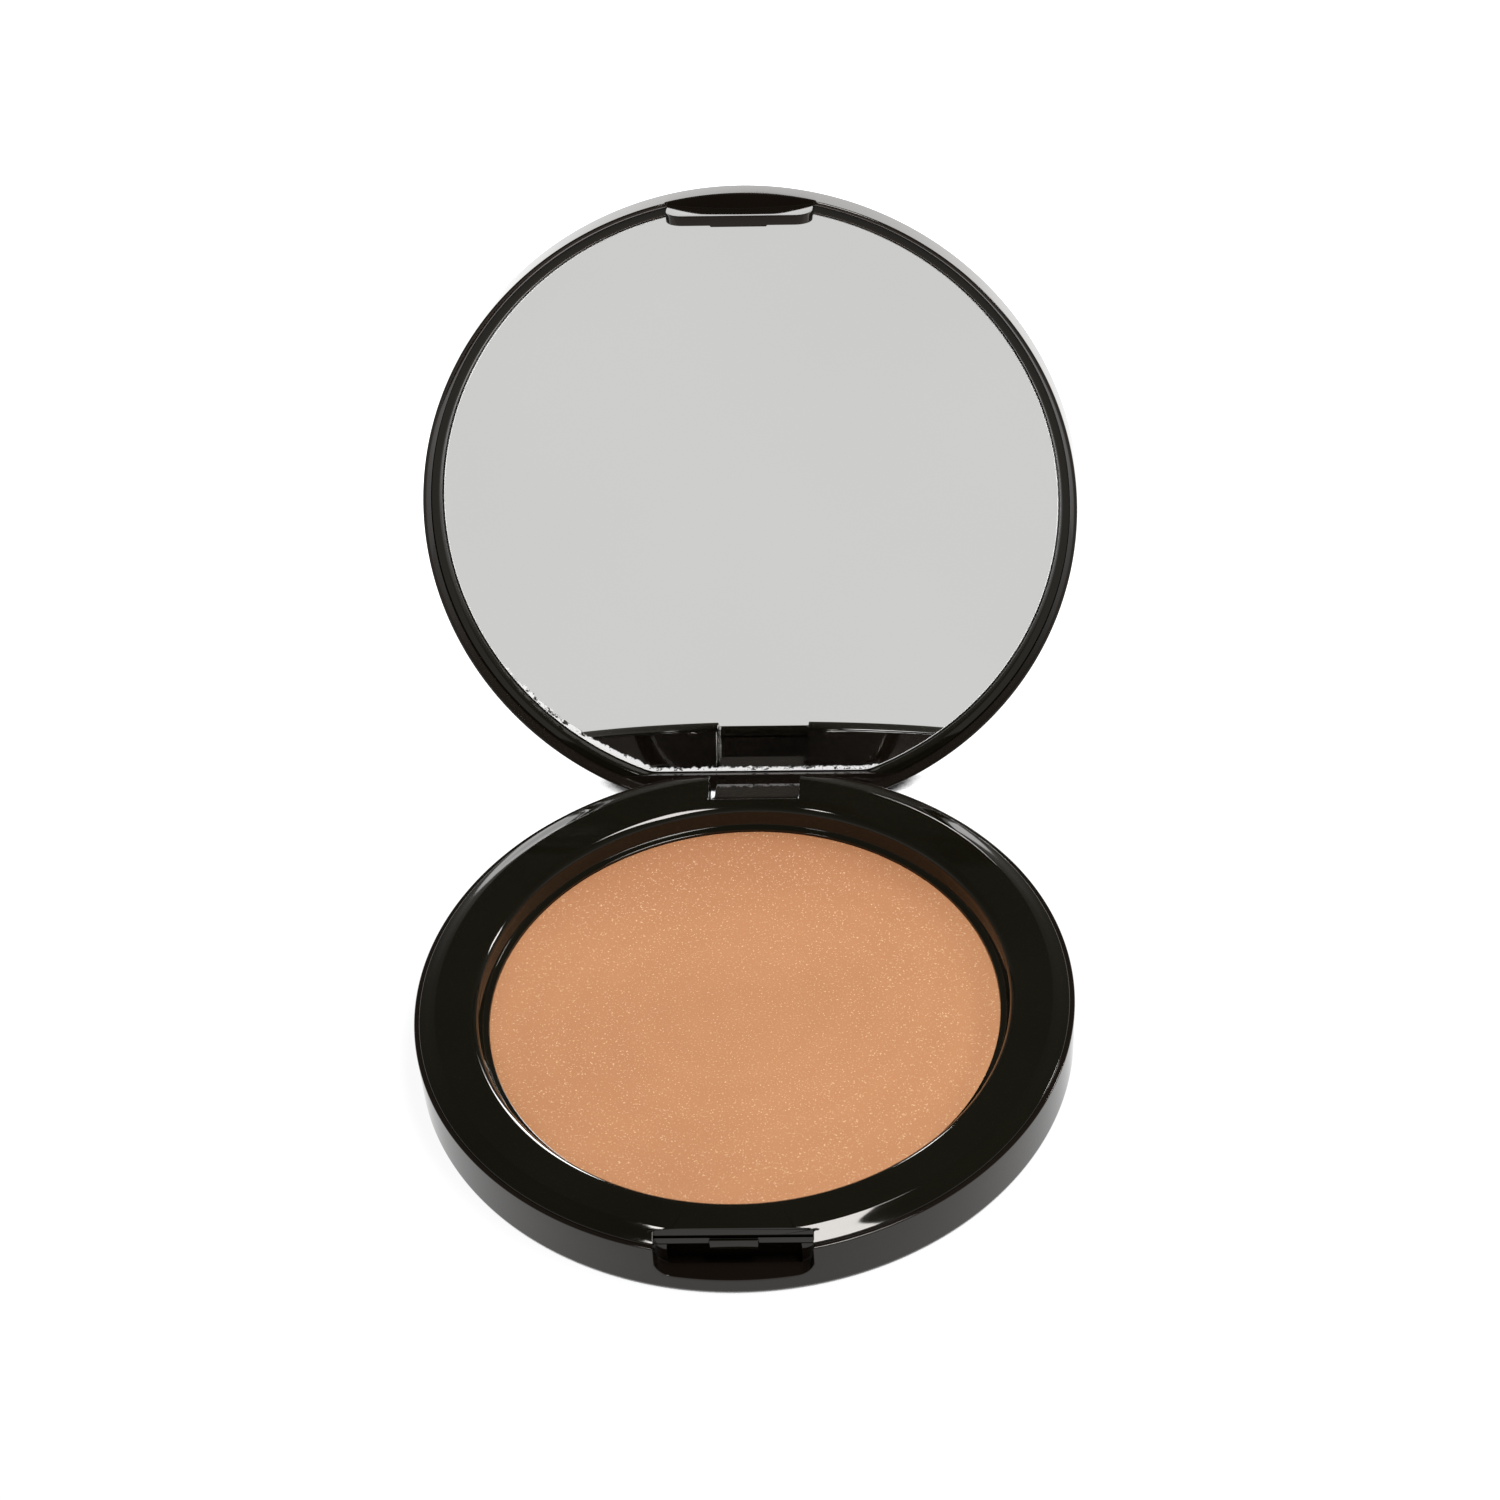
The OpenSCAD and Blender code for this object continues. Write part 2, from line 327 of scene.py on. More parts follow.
def case_outline(less=0.0):
    """The outside of the base from its foot to its ledge, drawn in by less all round."""
    foot = arc(CASE_R - DRAFT - FOOT_R - less, FOOT_R, FOOT_R, -90, 0, 8)
    rise = LEDGE_Z - EDGE - FOOT_R
    wall = [(CASE_R - DRAFT * (1 - t) - less, FOOT_R + rise * t) for t in (0.25, 0.6)]
    edge = arc(CASE_R - EDGE - less, LEDGE_Z - EDGE, EDGE, 0, 90, 4)
    return foot + wall + edge


def make_base():
    """The base's shell, thicker behind the latch and at the hinge, with their openings cut out."""
    inner = [(WALL_R, LEDGE_Z), (WALL_R, FLOOR_T), (0, FLOOR_T)]
    base = lathe("base_case", [(0, 0)] + case_outline() + inner, CASE_STEPS)
    ease_back(base, BACK_Y, WALL_R + 0.1)
    under_latch = block((-RECESS_X - 1.2, -FAR, 0.1), (RECESS_X + 1.2, -POCKET_Y + 0.9, LEDGE_Z - 0.1))
    bosses = block((-BOSS_X, BOSS_Y, 0.1), (BOSS_X, FAR, BOSS_Z))
    wall = block((-NOTCH_X - 1, NOTCH_WALL_Y, 0.1), (NOTCH_X + 1, BOSS_Y + 0.1, LEDGE_Z - 0.1))
    for filler in (under_latch, bosses, wall):
        inside = lathe("inside", [(0, 0.05)] + case_outline(0.5)[1:] + [(0, LEDGE_Z)])
        cut(inside, block((-FAR, BACK_Y - 0.4, -1), (FAR, FAR, FAR)))
        join(base, common(filler, inside))
    cut(base,
        prism("cutter", slot_outline(RECESS_X, RECESS_Z, FAR, CORNER_R), 1, -FAR, -BAND_Y),
        block((-POCKET_X, -BAND_Y - 0.1, POCKET_Z), (POCKET_X, -POCKET_Y, FAR)),
        block((-RECESS_X - 0.7, -BAND_Y - 0.1, BAND_Z - 0.05), (RECESS_X + 0.7, -POCKET_Y, FAR)),
        block((-NOTCH_X, NOTCH_Y, NOTCH_Z), (NOTCH_X, FAR, FAR)),
        block((-NOTCH_X, HINGE_POINT.y - 0.05, -1), (NOTCH_X, FAR, FAR)),
        lathe("cutter", [(0, -1), (LABEL_R, -1), (LABEL_R, LABEL_SINK), (0, LABEL_SINK)]),
        pin_cylinder(PIN_R, FAR))
    soften(base, PART_ROUND)
    return base


def ease_back(thing, limit, from_r):
    """Draws the outer wall in at the back to a flat that has no hard edge at its sides."""
    reach = 0.3
    for vertex in thing.data.vertices:
        x, y = vertex.co.x, vertex.co.y
        if y > 30 and x * x + y * y > from_r * from_r:
            vertex.co.y = -reach * log(exp(-(y - limit) / reach) + 1) + limit


def ogee(n=16):
    """The frame's gently S-shaped rise from its upright edge to its flat top."""
    steps = [i / n for i in range(n + 1)]
    rise = LAND_Z - LEDGE_Z - RISER
    return [(FRAME_R - (FRAME_R - LAND_R) * t,
             LEDGE_Z + RISER + rise * (t - OGEE_SWELL * sin(2 * pi * t))) for t in steps]


def make_frame():
    """The ring round the powder, with the plate and the catch behind the latch recess."""
    well = arc(WELL_R, LAND_Z - WELL_ROUND, WELL_ROUND, 90, 178, 14)
    well += [(OPENING_R + 0.7, POWDER_Z + 0.2), (OPENING_R, POWDER_Z + 0.1)]
    profile = [(FRAME_R, LEDGE_Z + 0.001)] + ogee() + well + [
        (OPENING_R, LIP_Z), (PAN_ROOM_R, LIP_Z), (PAN_ROOM_R, SLEEVE_Z), (SLEEVE_R, SLEEVE_Z),
        (SLEEVE_R, LEDGE_Z - 0.6), (SLEEVE_R + 0.6, LEDGE_Z), (SKIRT_IN_R, LEDGE_Z),
        (SKIRT_IN_R, SKIRT_Z), (SKIRT_R, SKIRT_Z), (SKIRT_R, LEDGE_Z + 0.001)]
    ring = lathe("powder_frame", profile)
    notch = [(NOTCH_Y, -1), (FAR, -1), (FAR, LAND_Z + 1),
             (NOTCH_Y - 1.6, LAND_Z + 1), (NOTCH_Y, LAND_Z - 0.6)]
    ease_back(ring, BACK_Y - CASE_R + FRAME_R, SKIRT_R + 0.05)
    cut(ring,
        block((-RECESS_X, -FAR, -1), (RECESS_X, -BAND_Y, FAR)),
        block((-RECESS_X - 1.4, -FAR, -1), (RECESS_X + 1.4, -POCKET_Y + 1, LEDGE_Z)),
        block((-BOSS_X - 0.3, NOTCH_WALL_Y + 0.5, -1), (BOSS_X + 0.3, FAR, LEDGE_Z)),
        prism("cutter", notch, 0, -NOTCH_X, NOTCH_X))
    plate = block((-RECESS_X - 0.6, -BAND_Y, BAND_Z), (RECESS_X + 0.6, -BAND_Y + PLATE_T, LAND_Z - 0.3))
    catch = block((-CATCH_X, -BAND_Y - CATCH_REACH, CATCH_Z),
                  (CATCH_X, -BAND_Y + PLATE_T / 2, CATCH_Z + CATCH_H))
    join(ring, plate, catch)
    soften(ring, 0.1)
    return ring


def make_powder():
    """The cake of powder: a slightly crowned top in the frame's opening, wider under the frame's lip."""
    top_r = OPENING_R - 0.05
    under_lip = LIP_Z - 0.04
    shares = [1 - i / 40 for i in range(1, 41)]
    crown = [(top_r * t, POWDER_Z - POWDER_CROWN * t ** 2) for t in shares]
    profile = [(0, POWDER_LOW_Z), (POWDER_R, POWDER_LOW_Z), (POWDER_R, under_lip), (top_r, under_lip),
               (top_r, POWDER_Z - 0.25)]
    powder = lathe("pressed_powder", profile + crown)
    smooth(powder, 60)
    return powder


def lid_outline():
    """The outside of the closed lid, from its rounded shoulder to the middle of its crowned top."""
    crown_r = CASE_R + LID_BULGE - LID_EDGE_R
    shoulder = LID_WALL_Z + LID_EDGE_R
    shares = [1 - i / 24 for i in range(25)]
    crown = [(crown_r * t, shoulder + LID_CROWN * (1 - t ** 2)) for t in shares]
    return arc(crown_r, LID_WALL_Z, LID_EDGE_R, 0, 88, 10) + crown


def make_tab():
    """The pull tab that hangs from the lid's rim, with the hook on its inner face."""
    outline = slot_outline(TAB_X, RIM_Z - TAB_H, LID_STEP_Z, CORNER_R)
    tab = prism("tab", outline, 1, -FAR, -TAB_Y)
    common(tab, lathe("round", [(0, 0), (CASE_R, 0), (CASE_R, FAR), (0, FAR)]))
    low = RIM_Z - TAB_H
    return join(tab, block((-HOOK_X, -TAB_Y - 0.3, low), (HOOK_X, -TAB_Y + HOOK_REACH, low + HOOK_H)))


def finger_scoop():
    """A hollow for a fingertip in front of the tab, deepest at the rim."""
    turn = [radians(a) for a in range(360)]
    hollow = prism("scoop", [(SCOOP_R * cos(a), SCOOP_R * (sin(a) - 1)) for a in turn], 2, -FAR, FAR)
    lean = Matrix.Rotation(radians(-SCOOP_TILT), 4, "X")
    hollow.data.transform(Matrix.Translation((0, -SCOOP_Y, SCOOP_Z)) @ lean)
    join(hollow, block((-FAR, -FAR, -FAR), (FAR, -TAB_OUT_Y, FAR)))
    return common(hollow, block((-TAB_X - 0.2, -FAR, -1), (TAB_X + 0.2, 0, SCOOP_Z)))


def behind_lid():
    """The space that comes to lie below the open lid's lowest edge, laid out for the closed lid."""
    slab = block((-FAR, -2 * FAR, -2 * FAR), (FAR, 2 * FAR, -BACK_REACH))
    slab.data.transform(Matrix.Translation(HINGE_POINT) @ Matrix.Rotation(OPEN_ANGLE, 4, "X"))
    return slab


def make_lug():
    """The lug that turns on the pin: round below it and upright above it, up into the lid."""
    y, z = HINGE_POINT.y, HINGE_POINT.z
    top = LID_STEP_Z + 0.6
    outline = arc(y, z, KNUCKLE_R, 180, 360, 24) + [(y + KNUCKLE_R, top), (y - KNUCKLE_R, top)]
    return prism("lug", outline, 0, -LUG_X, LUG_X)


def make_lid():
    """The lid's shell with a chamfer inside its rim, solid past the mirror's straight edge."""
    ceiling = [(0, CEILING_Z), (LID_IN_R - 0.1, CEILING_Z), (LID_IN_R, CEILING_Z - 0.1)]
    chamfer = [(LID_IN_R, RIM_Z + 1.0), (LID_IN_R + 0.02, RIM_Z + 0.84), (CASE_R - 0.43, RIM_Z + 0.12)]
    lip = [(CASE_R - 0.385, RIM_Z + 0.05), (CASE_R - 0.32, RIM_Z + 0.012), (CASE_R - 0.25, RIM_Z)]
    edge = arc(CASE_R - EDGE, RIM_Z + EDGE, EDGE, -90, 0, 4)
    lid = lathe("lid_case", edge + lid_outline() + ceiling + chamfer + lip, CASE_STEPS)
    fill_r, fill_z = LID_IN_R + 0.3, CEILING_Z + 0.3
    fill = [(0, LID_STEP_Z), (fill_r, LID_STEP_Z), (fill_r, fill_z), (0, fill_z)]
    behind_mirror = lathe("behind_mirror", fill)
    join(lid, common(behind_mirror, block((-FAR, MIRROR_Y + 0.1, 0), (FAR, FAR, FAR))))
    cut(lid, block((-RELIEF_X, 30, -1), (RELIEF_X, FAR, RIM_Z + 0.3)))
    join(lid, make_tab(), make_lug(), pin_cylinder(BARREL_R, KNUCKLE_X))
    cut(lid, finger_scoop(), behind_lid(), pin_cylinder(LUG_BORE_R, FAR))
    soften(lid, PART_ROUND)
    return lid


def make_mirror_ring():
    """The ring between the lid's wall and the mirror, cut off at the mirror's straight edge."""
    lip = arc(BEZEL_R + 0.35, LID_STEP_Z + 0.3, 0.25, 180, 270, 4)
    out_r, in_r, high_z = LID_IN_R - 0.03, MIRROR_R + 0.06, CEILING_Z - 0.01
    ring = lathe("mirror_ring", lip + [(out_r, LID_STEP_Z + 0.05), (out_r, high_z), (in_r, high_z),
                                       (in_r, MIRROR_Z)])
    cut(ring, block((-FAR, MIRROR_Y + 0.08, -1), (FAR, FAR, FAR)))
    soften(ring, 0.05)
    return ring


def mirror_outline(inset=0.0):
    """The round mirror with one straight edge, which meets the round one in small round corners."""
    y = MIRROR_Y - MIRROR_CORNER
    x = sqrt((MIRROR_R - MIRROR_CORNER) ** 2 - y * y)
    corner_start = degrees(atan2(y, x))
    r = MIRROR_R - inset
    c = MIRROR_CORNER - inset
    right = arc(x, y, c, corner_start, 90, 10)
    left = arc(-x, y, c, 90, 180 - corner_start, 10)
    turn = arc(0, 0, r, 180 - corner_start, 360 + corner_start, 200)[1:-1]
    return right + left + turn


def wear_at(x, y):
    """How worn the mirror's edge is: most along the straight edge and the lower left, least at the top."""
    if y > MIRROR_Y - 0.4:
        return 0.75
    height = max(0.0, y / MIRROR_R - 0.35)
    return 0.10 + height * (1.9 if x < 0 else 0.45)


def make_mirror():
    """Glass with a narrow ground bevel round its face, and a note of how worn its edge is."""
    bm = bmesh.new()
    wear = bm.verts.layers.float.new("wear")
    # how far in from the edge, height, and share of the wear there, or None for the bare edge
    levels = [(0.0, MIRROR_Z + MIRROR_T, None), (0.0, MIRROR_Z + 0.05, None), (0.04, MIRROR_Z, None),
              (0.08, MIRROR_Z, None), (0.10, MIRROR_Z, 1.0), (1.3, MIRROR_Z, 0.0)]
    rings = []
    for inset, z, share in levels:
        ring = []
        for (a, b), (c, d) in zip(mirror_outline(inset), mirror_outline()):
            vertex = bm.verts.new((a, b, z))
            vertex[wear] = BARE_EDGE if share is None else share * wear_at(c, d)
            ring.append(vertex)
        rings.append(ring)
    bm.faces.new(rings[0])
    bm.faces.new(rings[-1])
    count = len(rings[0])
    for one, two in zip(rings, rings[1:]):
        for i in range(count):
            j = (i + 1) % count
            bm.faces.new([one[i], one[j], two[j], two[i]])
    mirror = finish_mesh("mirror", bm)
    for face in mirror.data.polygons:
        face.use_smooth = True
    mirror.data.set_sharp_from_angle(angle=radians(20))
    return mirror


# ---------------------------------------------------------------- materials

def new_material(name):
    material = bpy.data.materials.new(name)
    material.use_nodes = True
    nodes = material.node_tree.nodes
    return material, nodes, material.node_tree.links, nodes["Principled BSDF"]


def noise(nodes, links, scale, detail=3.0, rough=0.5):
    """Noise that stays with the object. The scale counts its patches along a metre."""
    place_node = nodes.new("ShaderNodeTexCoord")
    texture = nodes.new("ShaderNodeTexNoise")
    texture.inputs["Scale"].default_value = scale
    texture.inputs["Detail"].default_value = detail
    texture.inputs["Roughness"].default_value = rough
    links.new(place_node.outputs["Object"], texture.inputs["Vector"])
    return texture.outputs["Fac"]


def ramp(nodes, links, source, stops):
    """Turns a value into a colour, by stops of position and colour."""
    node = nodes.new("ShaderNodeValToRGB")
    node.color_ramp.elements[0].position = stops[0][0]
    node.color_ramp.elements[0].color = (*stops[0][1], 1)
    node.color_ramp.elements[1].position = stops[-1][0]
    node.color_ramp.elements[1].color = (*stops[-1][1], 1)
    for position, colour in stops[1:-1]:
        node.color_ramp.elements.new(position).color = (*colour, 1)
    links.new(source, node.inputs["Fac"])
    return node.outputs["Color"]


def spread(nodes, links, source, low, high):
    """Maps a value of 0 to 1 onto the span from low to high."""
    node = nodes.new("ShaderNodeMapRange")
    node.inputs["To Min"].default_value = low
    node.inputs["To Max"].default_value = high
    links.new(source, node.inputs["Value"])
    return node.outputs["Result"]


def mix_colour(nodes, links, share, one, two):
    """Mixes the fixed colour two into the colour one."""
    node = nodes.new("ShaderNodeMix")
    node.data_type = "RGBA"
    links.new(share, node.inputs["Factor"])
    links.new(one, node.inputs["A"])
    node.inputs["B"].default_value = two
    return node.outputs["Result"]


def bump(nodes, links, source, strength, distance, shader):
    node = nodes.new("ShaderNodeBump")
    node.inputs["Strength"].default_value = strength
    node.inputs["Distance"].default_value = distance
    links.new(source, node.inputs["Height"])
    links.new(node.outputs["Normal"], shader.inputs["Normal"])


def glossy_plastic(name, dark, light, rough):
    """Injection-moulded plastic: a deep colour that varies a little, and a polish that isn't quite even."""
    material, nodes, links, shader = new_material(name)
    tone = ramp(nodes, links, noise(nodes, links, 60), [(0.3, dark), (0.7, light)])
    links.new(tone, shader.inputs["Base Color"])
    polish = spread(nodes, links, noise(nodes, links, 240), rough * 0.7, rough * 1.3)
    links.new(polish, shader.inputs["Roughness"])
    shader.inputs["IOR"].default_value = 1.40
    shader.inputs["Specular Tint"].default_value = (1.0, 0.95, 0.90, 1)
    bump(nodes, links, noise(nodes, links, 90, 1.0), 0.02, 0.0004, shader)
    return material


def pressed_powder():
    """Fine pressed powder: soft patches of tone, faint turned rings, a fine grain, a few gold specks, and
    painted shade towards its rear edge.
    """
    material, nodes, links, shader = new_material("pressed_powder")
    patches = ramp(nodes, links, noise(nodes, links, 45, 6.0, 0.6),
                   [(0.25, (0.405, 0.176, 0.072)), (0.75, (0.465, 0.208, 0.089))])
    rings = nodes.new("ShaderNodeTexWave")
    rings.wave_type = "RINGS"
    rings.rings_direction = "Z"
    rings.inputs["Scale"].default_value = 60
    rings.inputs["Distortion"].default_value = 9.0
    rings.inputs["Detail"].default_value = 2.0
    rings.inputs["Detail Scale"].default_value = 0.6
    coordinate = nodes.new("ShaderNodeTexCoord")
    links.new(coordinate.outputs["Object"], rings.inputs["Vector"])
    ringed = mix_colour(nodes, links, spread(nodes, links, rings.outputs["Fac"], 0.0, 0.10),
                        patches, (0.36, 0.14, 0.055, 1))
    # Painted shade: the colour darkens towards the powder's rear edge, where the well's rear wall and the
    # open lid shade it.
    depth = nodes.new("ShaderNodeSeparateXYZ")
    links.new(coordinate.outputs["Object"], depth.inputs[0])
    rear = nodes.new("ShaderNodeMapRange")
    rear.interpolation_type = "SMOOTHSTEP"
    rear.inputs["From Min"].default_value = 0.008
    rear.inputs["From Max"].default_value = 0.032
    rear.inputs["To Max"].default_value = 0.85
    links.new(depth.outputs["Y"], rear.inputs["Value"])
    shaded = mix_colour(nodes, links, rear.outputs["Result"], ringed, (0.34, 0.135, 0.052, 1))
    grain = ramp(nodes, links, noise(nodes, links, 4000, 2.0, 0.8), [(0.60, (0, 0, 0)), (0.70, (1, 1, 1))])
    speck_share = nodes.new("ShaderNodeMath")
    speck_share.operation = "MULTIPLY"
    speck_share.inputs[1].default_value = 0.45
    links.new(grain, speck_share.inputs[0])
    tone = mix_colour(nodes, links, speck_share.outputs[0], shaded, (1.0, 0.80, 0.50, 1))
    links.new(tone, shader.inputs["Base Color"])
    shader.inputs["Roughness"].default_value = 0.75
    bump(nodes, links, noise(nodes, links, 1800, 4.0), 0.25, 0.0001, shader)
    return material


def silvered_glass():
    """Silvered glass, with a bright ragged band where the silver has flaked at its edge."""
    material, nodes, links, shader = new_material("silvered_glass")
    tone = ramp(nodes, links, noise(nodes, links, 25, 3.0),
                [(0.3, (0.90, 0.90, 0.895)), (0.7, (0.93, 0.93, 0.925))])
    wear = nodes.new("ShaderNodeAttribute")
    wear.attribute_name = "wear"
    ragged = nodes.new("ShaderNodeMath")
    ragged.operation = "ADD"
    links.new(wear.outputs["Fac"], ragged.inputs[0])
    links.new(spread(nodes, links, noise(nodes, links, 1500, 4.0, 0.7), -0.40, 0.40), ragged.inputs[1])
    worn = nodes.new("ShaderNodeMapRange")
    worn.inputs["From Min"].default_value = 0.48
    worn.inputs["From Max"].default_value = 0.56
    links.new(ragged.outputs[0], worn.inputs["Value"])
    whole = nodes.new("ShaderNodeMapRange")
    whole.inputs["From Min"].default_value = 0.8
    whole.inputs["From Max"].default_value = BARE_EDGE
    whole.inputs["To Max"].default_value = 0.4
    links.new(wear.outputs["Fac"], whole.inputs["Value"])
    specks = nodes.new("ShaderNodeMath")
    specks.operation = "ADD"
    links.new(noise(nodes, links, 1100, 4.0, 0.7), specks.inputs[0])
    links.new(whole.outputs["Result"], specks.inputs[1])
    flaked = ramp(nodes, links, specks.outputs[0],
                  [(0.42, (0.03, 0.025, 0.02)), (0.48, (0.97, 0.955, 0.94))])
    colour = nodes.new("ShaderNodeMix")
    colour.data_type = "RGBA"
    links.new(worn.outputs["Result"], colour.inputs["Factor"])
    links.new(tone, colour.inputs["A"])
    links.new(flaked, colour.inputs["B"])
    links.new(colour.outputs["Result"], shader.inputs["Base Color"])
    links.new(spread(nodes, links, worn.outputs["Result"], 0.005, 0.7), shader.inputs["Roughness"])
    links.new(spread(nodes, links, worn.outputs["Result"], 1.0, 0.0), shader.inputs["Metallic"])
    return material


def metal(name, dark, light, rough):
    """Bare metal, with a polish that isn't quite even."""
    material, nodes, links, shader = new_material(name)
    tone = ramp(nodes, links, noise(nodes, links, 300), [(0.3, dark), (0.7, light)])
    links.new(tone, shader.inputs["Base Color"])
    shader.inputs["Metallic"].default_value = 1.0
    polish = spread(nodes, links, noise(nodes, links, 700), rough * 0.7, rough * 1.3)
    links.new(polish, shader.inputs["Roughness"])
    bump(nodes, links, noise(nodes, links, 1500), 0.05, 0.00005, shader)
    return material


def soft_sheet(name, dark, light, scale):
    """Paper or foam tape: matte, with fine fibres or cells."""
    material, nodes, links, shader = new_material(name)
    tone = noise(nodes, links, scale, 5.0, 0.7)
    links.new(ramp(nodes, links, tone, [(0.3, dark), (0.7, light)]), shader.inputs["Base Color"])
    shader.inputs["Roughness"].default_value = 0.85
    bump(nodes, links, tone, 0.2, 0.0001, shader)
    return material


# ---------------------------------------------------------------- stage

def multiply(nodes, links, one, two):
    node = nodes.new("ShaderNodeMath")
    node.operation = "MULTIPLY"
    links.new(one, node.inputs[0])
    links.new(two, node.inputs[1])
    return node.outputs[0]


def open_share(nodes, links, reach, closed, free):
    """Zero in a narrow gap, where less than the share closed of the sky is seen, and one in the open."""
    sky = nodes.new("ShaderNodeAmbientOcclusion")
    sky.samples = 16
    sky.inputs["Distance"].default_value = reach
    share = nodes.new("ShaderNodeMapRange")
    share.inputs["From Min"].default_value = closed
    share.inputs["From Max"].default_value = free
    links.new(sky.outputs["AO"], share.inputs["Value"])
    return share.outputs["Result"]


def make_floor():
    """A pale floor that glows evenly, with painted light that glows more strongly behind the object, and
    painted shadow that darkens it in narrow gaps.
    """
    bm = bmesh.new()
    bmesh.ops.create_grid(bm, x_segments=40, y_segments=40, size=4.0)
    floor = finish_mesh("floor", bm)
    material, nodes, links, shader = new_material("floor")
    shader.inputs["Base Color"].default_value = (0.08, 0.08, 0.08, 1)
    shader.inputs["Roughness"].default_value = 1.0
    shader.inputs["Specular IOR Level"].default_value = 0.0
    coordinate = nodes.new("ShaderNodeTexCoord")
    split = nodes.new("ShaderNodeSeparateXYZ")
    links.new(coordinate.outputs["Object"], split.inputs[0])
    # Painted light: the glow rises from front to back, so the floor behind the object shines brighter than
    # the floor in front.
    glow = nodes.new("ShaderNodeMapRange")
    glow.interpolation_type = "SMOOTHSTEP"
    glow.inputs["From Min"].default_value = 0.0
    glow.inputs["From Max"].default_value = 0.19
    glow.inputs["To Min"].default_value = 0.93
    glow.inputs["To Max"].default_value = 3.1
    links.new(split.outputs["Y"], glow.inputs["Value"])
    # Painted shadow: the glow is cut where the floor sees little sky, under the base and behind the hinge
    # under the open lid.
    in_the_open = open_share(nodes, links, 0.02, 0.20, 0.30)
    strength = multiply(nodes, links, glow.outputs["Result"], in_the_open)
    links.new(strength, shader.inputs["Emission Strength"])
    shader.inputs["Emission Color"].default_value = (1, 1, 1, 1)
    floor.data.materials.append(material)


def make_world():
    """A pale room low down, dimmer overhead, with a pale card low in front and a darker wall behind."""
    world = bpy.data.worlds.new("studio")
    bpy.context.scene.world = world
    world.use_nodes = True
    nodes = world.node_tree.nodes
    links = world.node_tree.links
    coordinate = nodes.new("ShaderNodeTexCoord")
    split = nodes.new("ShaderNodeSeparateXYZ")
    links.new(coordinate.outputs["Generated"], split.inputs[0])
    front = ramp(nodes, links, split.outputs["Z"], [
        (0.0, (0.70, 0.70, 0.69)), (0.16, (0.66, 0.66, 0.65)), (0.35, (0.28, 0.28, 0.26)),
        (0.7, (0.13, 0.125, 0.11)), (1.0, (0.05, 0.05, 0.045))])
    rear = ramp(nodes, links, split.outputs["Z"], [
        (0.0, (0.40, 0.39, 0.37)), (0.2, (0.20, 0.19, 0.17)), (0.7, (0.10, 0.095, 0.085)),
        (1.0, (0.05, 0.05, 0.045))])
    turn = nodes.new("ShaderNodeMapRange")
    turn.interpolation_type = "SMOOTHSTEP"
    turn.inputs["From Min"].default_value = -0.35
    turn.inputs["From Max"].default_value = 0.25
    links.new(split.outputs["Y"], turn.inputs["Value"])
    mix = nodes.new("ShaderNodeMix")
    mix.data_type = "RGBA"
    links.new(turn.outputs["Result"], mix.inputs["Factor"])
    links.new(front, mix.inputs["A"])
    links.new(rear, mix.inputs["B"])
    links.new(mix.outputs["Result"], nodes["Background"].inputs["Color"])


def area_light(name, direction, width, length, power, along):
    """A softbox in a direction from the object, facing it, with its long side turned towards along."""
    distance = 0.7
    light = bpy.data.lights.new(name, "AREA")
    light.shape = "RECTANGLE"
    light.size = width
    light.size_y = length
    light.energy = power
    light.color = (0.97, 0.985, 1.0)
    thing = bpy.data.objects.new(name, light)
    bpy.context.scene.collection.objects.link(thing)
    back = Vector(direction).normalized()
    up = (Vector(along) - Vector(along).dot(back) * back).normalized()
    side = up.cross(back)
    thing.matrix_world = Matrix((
        (side.x, up.x, back.x, back.x * distance),
        (side.y, up.y, back.y, back.y * distance),
        (side.z, up.z, back.z, back.z * distance),
        (0, 0, 0, 1)))


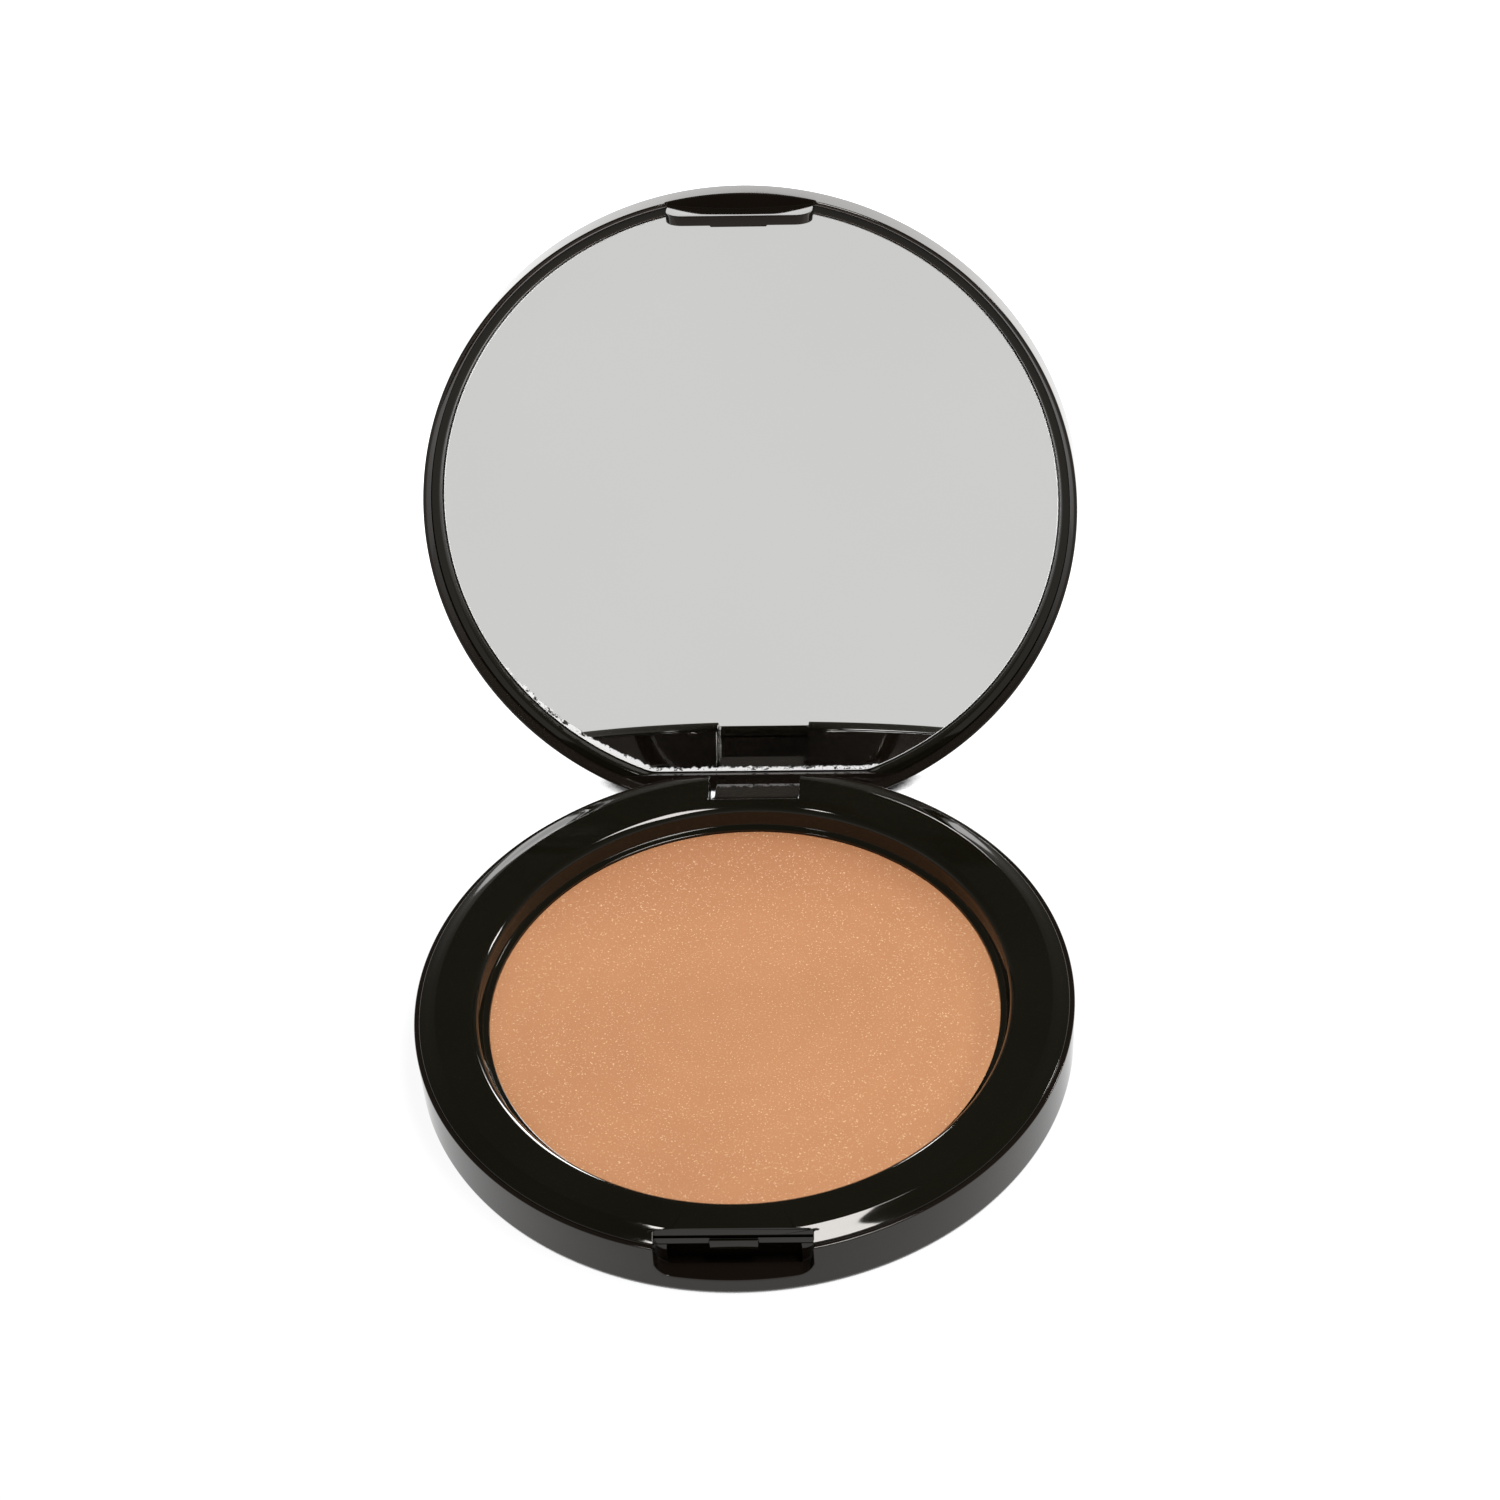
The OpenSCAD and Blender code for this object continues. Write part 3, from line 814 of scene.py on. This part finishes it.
def make_camera():
    """A long lens from the front, a little to the right, and slightly rolled."""
    distance = 2.0
    elevation, roll, yaw = radians(46.414), radians(-4.346), radians(5.165)
    back = Vector((sin(yaw) * cos(elevation), -cos(yaw) * cos(elevation), sin(elevation)))
    right = (-back).cross(Vector((0, 0, 1))).normalized()
    up = right.cross(-back)
    turned_right = right * cos(roll) + up * sin(roll)
    turned_up = up * cos(roll) - right * sin(roll)
    target = Vector((2.94, 0.0, 50.427)) * MM
    camera_data = bpy.data.cameras.new("camera")
    camera_data.lens = 423.54
    camera_data.clip_start = 0.01
    camera_data.clip_end = 50
    camera = bpy.data.objects.new("camera", camera_data)
    bpy.context.scene.collection.objects.link(camera)
    spot = target + back * distance
    camera.matrix_world = Matrix((
        (turned_right.x, turned_up.x, back.x, spot.x),
        (turned_right.y, turned_up.y, back.y, spot.y),
        (turned_right.z, turned_up.z, back.z, spot.z),
        (0, 0, 0, 1)))
    bpy.context.scene.camera = camera


# ---------------------------------------------------------------- the compact

make_camera()
make_floor()
make_world()
area_light("key_strip", (0.222, -0.17, 0.93), 0.17, 0.40, 5.8, (0, 1, 0))
area_light("left_card", (-0.275, -0.18, 0.94), 0.05, 0.08, 0.45, (0, 1, 0))
area_light("right_card", (0.82, 0.37, 0.43), 0.10, 0.12, 1.2, (0, 0, 1))
bpy.context.scene.view_settings.view_transform = "Standard"

case = glossy_plastic("case_plastic", (0.0050, 0.0034, 0.0024), (0.0070, 0.0048, 0.0034), 0.06)
inner = glossy_plastic("frame_plastic", (0.0036, 0.0032, 0.0016), (0.0050, 0.0044, 0.0024), 0.06)
powder = pressed_powder()
glass = silvered_glass()

place(make_base(), "base", "base_shell", case)
place(make_frame(), "base", "inner_frame", inner)
place(make_powder(), "base", "powder_cake", powder)
place(make_lid(), "lid", "lid_shell", case, opened=True)
place(make_mirror_ring(), "lid", "mirror_frame", inner, opened=True)
place(make_mirror(), "lid", "mirror_glass", glass, opened=True)

carried = {
    "powder_pan": metal("pan_metal", (0.62, 0.62, 0.63), (0.72, 0.72, 0.72), 0.3),
    "hinge_pin": metal("pin_steel", (0.50, 0.50, 0.51), (0.62, 0.62, 0.63), 0.25),
    "pan_adhesive": soft_sheet("adhesive", (0.72, 0.70, 0.62), (0.82, 0.80, 0.72), 2500),
    "mirror_adhesive": soft_sheet("mirror_tape", (0.72, 0.70, 0.62), (0.82, 0.80, 0.72), 2500),
    "underside_label": soft_sheet("label_paper", (0.70, 0.70, 0.68), (0.80, 0.80, 0.78), 900),
}
for node_name, material in carried.items():
    mesh = frame["nodes"][node_name].data
    mesh.materials.clear()
    mesh.materials.append(material)
